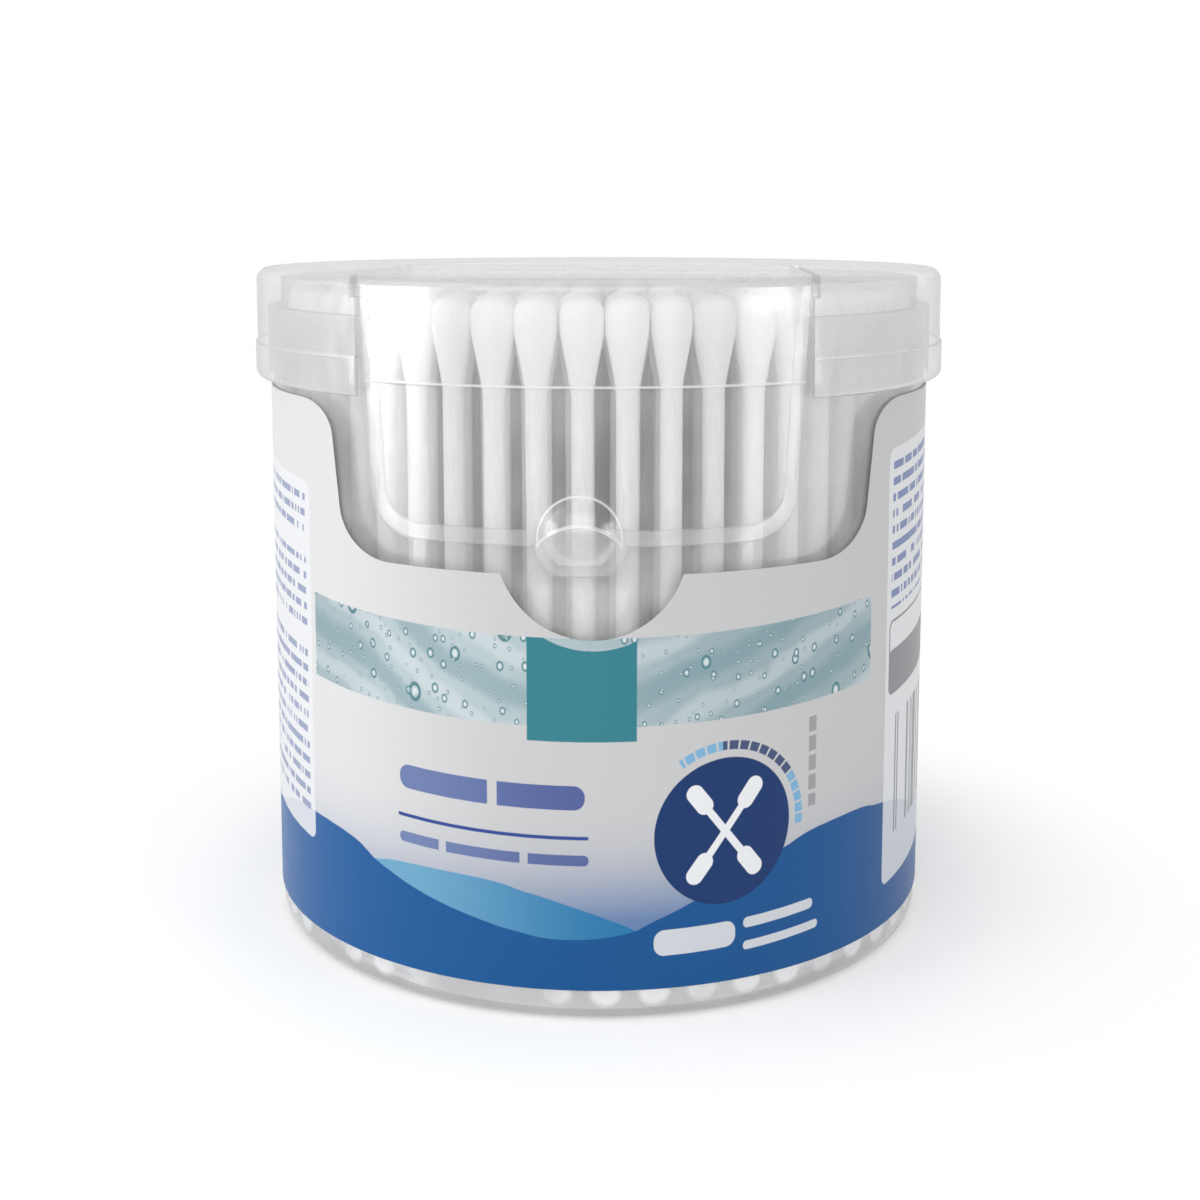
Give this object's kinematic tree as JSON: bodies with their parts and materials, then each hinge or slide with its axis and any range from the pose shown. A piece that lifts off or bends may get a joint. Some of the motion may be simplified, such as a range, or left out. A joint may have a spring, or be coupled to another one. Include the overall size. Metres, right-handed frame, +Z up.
{
  "type": "cotton swab tub",
  "caption": "Clear round tub of cotton swabs with a press-on lid, a hinged front flap with a domed thumb tab, and a printed wrap label.",
  "frame": {"origin": "centre of the tub's base on the surface it rests on", "axes": "+Z up along the tub's axis, -Y towards the front with the flap, +X to the right as seen from the front"},
  "size_m": [0.0864, 0.0874, 0.081],
  "materials": {
    "clear_tub": "clear gloss moulding",
    "clear_lid": "clear gloss moulding",
    "clear_flap": "clear gloss moulding",
    "label_film": "printed film in pale grey, teal and blue",
    "white_paper": "rolled white paper",
    "cotton": "soft wound cotton"
  },
  "bodies": {
    "tub_body": {"tub": "clear_tub", "label": "label_film", "paper_sticks": "white_paper", "cotton_tips_lower": "cotton", "cotton_tips_upper": "cotton"},
    "lid_body": {"lid_ring": "clear_lid"},
    "flap_body": {"lid_flap": "clear_flap"}
  },
  "joints": [
    {"name": "lid_lift", "type": "slide", "parent": "tub_body", "child": "lid_body", "axis": [0, 0, 1], "range_m": [0, 0.035]},
    {"name": "flap_hinge", "type": "hinge", "parent": "lid_body", "child": "flap_body", "pos_m": [0, 0.0036, 0.0804], "axis": [-1, 0, 0], "range_deg": [0, 115]}
  ]
}
